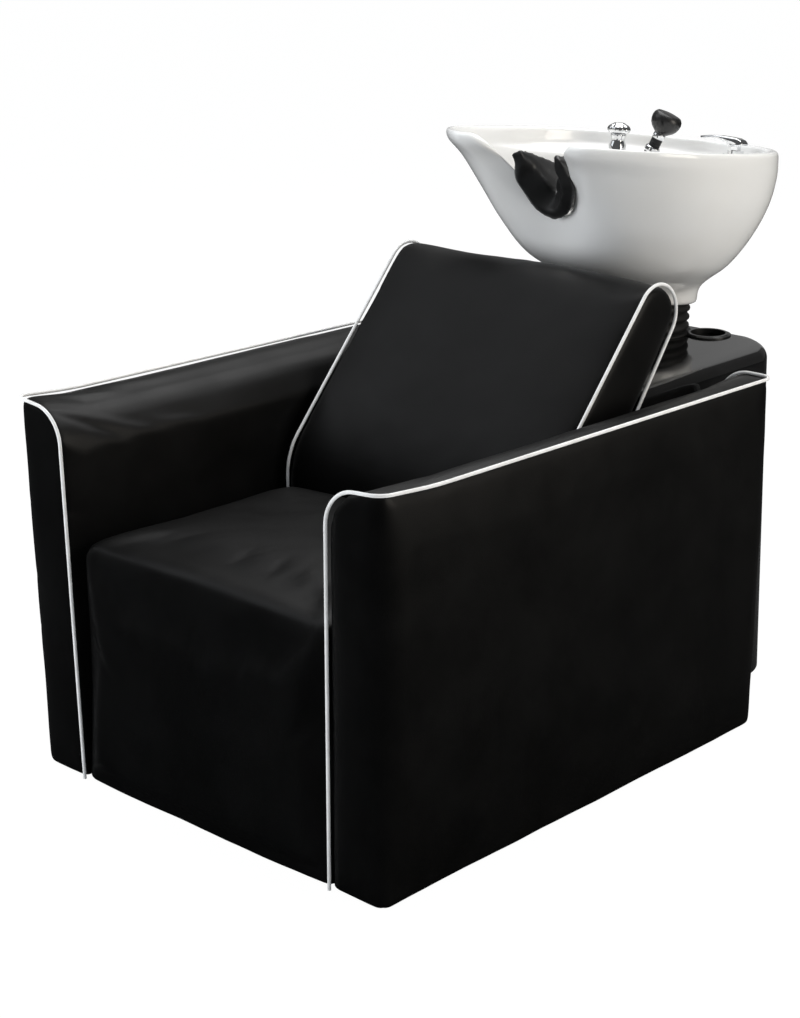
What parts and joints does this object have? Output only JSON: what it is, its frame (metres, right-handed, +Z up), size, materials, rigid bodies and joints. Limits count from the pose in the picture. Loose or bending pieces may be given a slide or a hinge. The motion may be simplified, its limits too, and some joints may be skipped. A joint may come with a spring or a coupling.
{
  "type": "backwash unit",
  "caption": "Upholstered salon chair with padded arms and a leaning back, joined to a gloss housing that carries a tilting ceramic hair-wash bowl with mixer tap and pull-out spray.",
  "frame": {"origin": "on the floor, below the middle of the bounding box", "axes": "+X to the viewer's right when facing the front, -Y to the front, +Z up"},
  "size_m": [0.722, 1.1784, 0.9316],
  "materials": {
    "vinyl": "semi-gloss black vinyl",
    "piping": "white vinyl piping",
    "plywood": "bare plywood",
    "frame_paint": "black powder coat",
    "steel": "zinc-plated steel",
    "chrome": "polished chrome",
    "brass": "plain brass",
    "housing_gloss": "gloss black moulding",
    "black_plastic": "satin black plastic",
    "rubber": "matt black rubber",
    "ceramic": "gloss white glaze"
  },
  "bodies": {
    "chair": {"apron_board": "plywood", "arm_bolts": "steel", "arm_core_left": "plywood", "arm_core_right": "plywood", "arm_cover_left": "vinyl", "arm_cover_right": "vinyl", "arm_piping_left": "piping", "arm_piping_right": "piping", "backrest_board": "plywood", "backrest_bracket_left": "chrome", "backrest_bracket_right": "chrome", "backrest_cushion": "vinyl", "backrest_piping_left": "piping", "backrest_piping_right": "piping", "base_frame": "frame_paint", "bellows": "rubber", "bracket_dome_bolts": "chrome", "clevis_bolts": "steel", "column": "frame_paint", "floor_glides": "black_plastic", "housing_shell": "housing_gloss", "seat_board": "plywood", "seat_cushion": "vinyl", "service_panel": "housing_gloss", "service_panel_screws": "steel", "tilt_clevis": "frame_paint", "tilt_nuts": "steel", "tilt_pin": "steel", "tray_grommet": "black_plastic"},
    "mixer_cap": {"mixer_cap": "chrome", "lever_pin": "steel"},
    "mixer_lever": {"mixer_lever": "chrome"},
    "hand_spray": {"spray_hose": "rubber", "spray_boot": "rubber", "spray_collar": "chrome", "spray_head": "black_plastic", "spray_face": "black_plastic"},
    "bowl": {"bowl": "ceramic", "foot_plate": "frame_paint", "foot_plate_bolts": "steel", "friction_washers": "rubber", "drain_body": "chrome", "drain_strainer": "chrome", "drain_nut": "brass", "neck_rest": "rubber", "mixer_body": "chrome", "mixer_nut": "brass", "vacuum_breaker_body": "chrome", "vacuum_breaker_cap": "chrome", "breaker_nut": "brass", "spray_guide": "chrome", "guide_nut": "brass"}
  },
  "joints": [
    {"name": "bowl_tilt", "type": "hinge", "parent": "chair", "child": "bowl", "pos_m": [0, 0.434, 0.59], "axis": [1, 0, 0], "range_deg": [-8, 8], "deforming": ["bellows"]},
    {"name": "mixer_swivel", "type": "hinge", "parent": "bowl", "child": "mixer_cap", "pos_m": [0.118, 0.50806, 0.86392], "axis": [0, 0.1011, 0.9949], "range_deg": [-45, 45]},
    {"name": "lever_lift", "type": "hinge", "parent": "mixer_cap", "child": "mixer_lever", "pos_m": [0.118, 0.50968, 0.87984], "axis": [0, 0.9949, -0.1011], "range_deg": [0, 20]},
    {"name": "spray_pull", "type": "slide", "parent": "bowl", "child": "hand_spray", "axis": [0.352, 0.2212, 0.9095], "range_m": [0, 0.09]}
  ]
}
